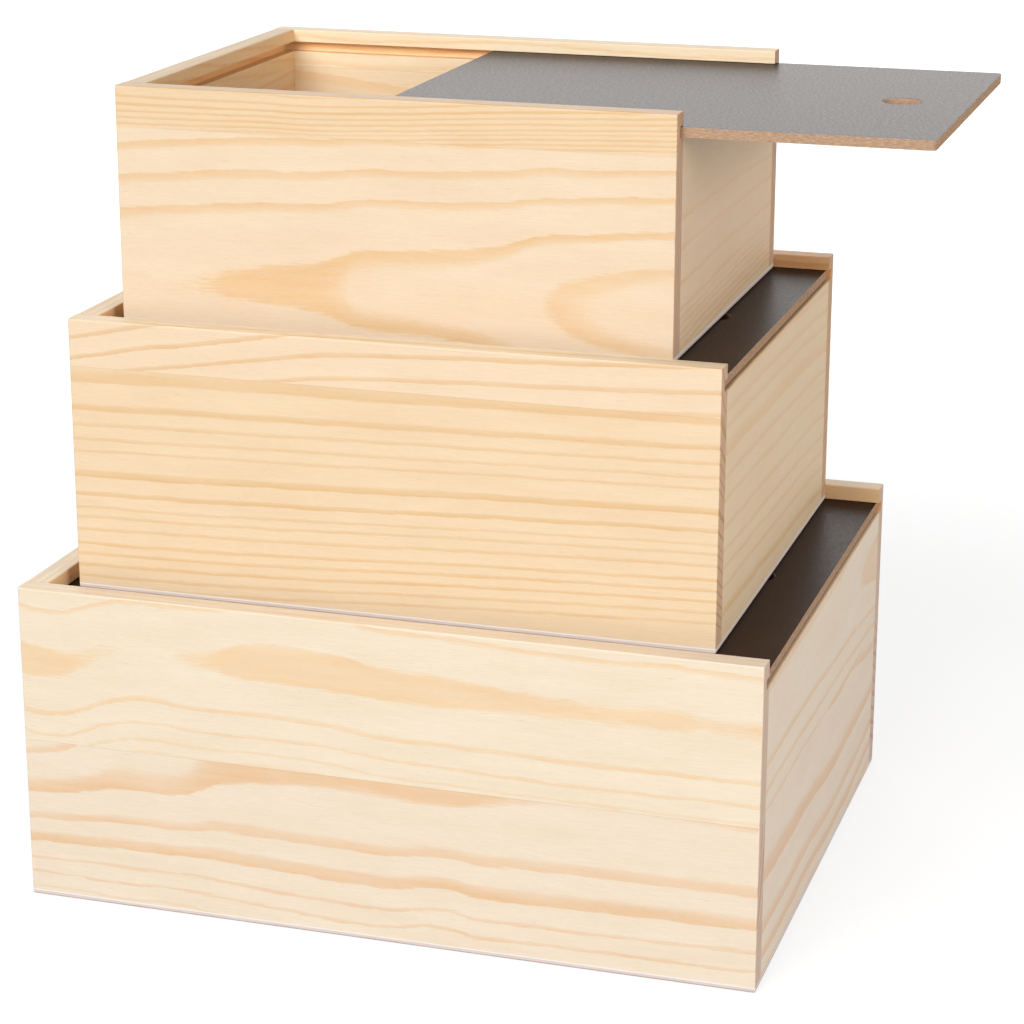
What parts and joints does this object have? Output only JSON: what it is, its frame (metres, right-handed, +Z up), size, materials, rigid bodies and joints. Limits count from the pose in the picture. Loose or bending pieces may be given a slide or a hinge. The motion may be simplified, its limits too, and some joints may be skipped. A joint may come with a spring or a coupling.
{
  "type": "sliding lid wooden box set",
  "caption": "Graded set of stacking pine boxes; each has a lid groove round three walls and a thin film-faced sliding lid with a finger hole, for tools and small parts.",
  "frame": {"origin": "centre of the large box's underside, on the surface it stands on", "axes": "+X the way the lids slide out, -Y the front, +Z up"},
  "size_m": [0.4612, 0.324, 0.4314],
  "materials": {
    "pine": "sanded, bare",
    "lid_film": "satin film on both faces, bare edges",
    "bottom_board": "bare"
  },
  "bodies": {
    "large_box": {"large_front_upper_board": "pine", "large_front_lower_board": "pine", "large_rear_upper_board": "pine", "large_rear_lower_board": "pine", "large_left_end_upper_board": "pine", "large_left_end_lower_board": "pine", "large_right_end_upper_board": "pine", "large_right_end_lower_board": "pine", "large_bottom_panel": "bottom_board"},
    "large_lid": {"large_lid": "lid_film"},
    "medium_box": {"medium_front_upper_board": "pine", "medium_front_lower_board": "pine", "medium_rear_upper_board": "pine", "medium_rear_lower_board": "pine", "medium_left_end_upper_board": "pine", "medium_left_end_lower_board": "pine", "medium_right_end_board": "pine", "medium_bottom_panel": "bottom_board"},
    "medium_lid": {"medium_lid": "lid_film"},
    "small_box": {"small_front_upper_board": "pine", "small_front_lower_board": "pine", "small_rear_upper_board": "pine", "small_rear_lower_board": "pine", "small_left_end_upper_board": "pine", "small_left_end_lower_board": "pine", "small_right_end_board": "pine", "small_bottom_panel": "bottom_board"},
    "small_lid": {"small_lid": "lid_film"}
  },
  "joints": [
    {"name": "large_lid_slide", "type": "slide", "parent": "large_box", "child": "large_lid", "axis": [1, 0, 0], "range_m": [0, 0.395]},
    {"name": "medium_lid_slide", "type": "slide", "parent": "medium_box", "child": "medium_lid", "axis": [1, 0, 0], "range_m": [0, 0.343]},
    {"name": "small_lid_slide", "type": "slide", "parent": "small_box", "child": "small_lid", "axis": [1, 0, 0], "range_m": [-0.127, 0.166]},
    {"name": "medium_box_lift", "type": "slide", "parent": "large_box", "child": "medium_box", "axis": [0, 0, 1], "range_m": [0, 0.12]},
    {"name": "small_box_lift", "type": "slide", "parent": "medium_box", "child": "small_box", "axis": [0, 0, 1], "range_m": [0, 0.1]}
  ]
}
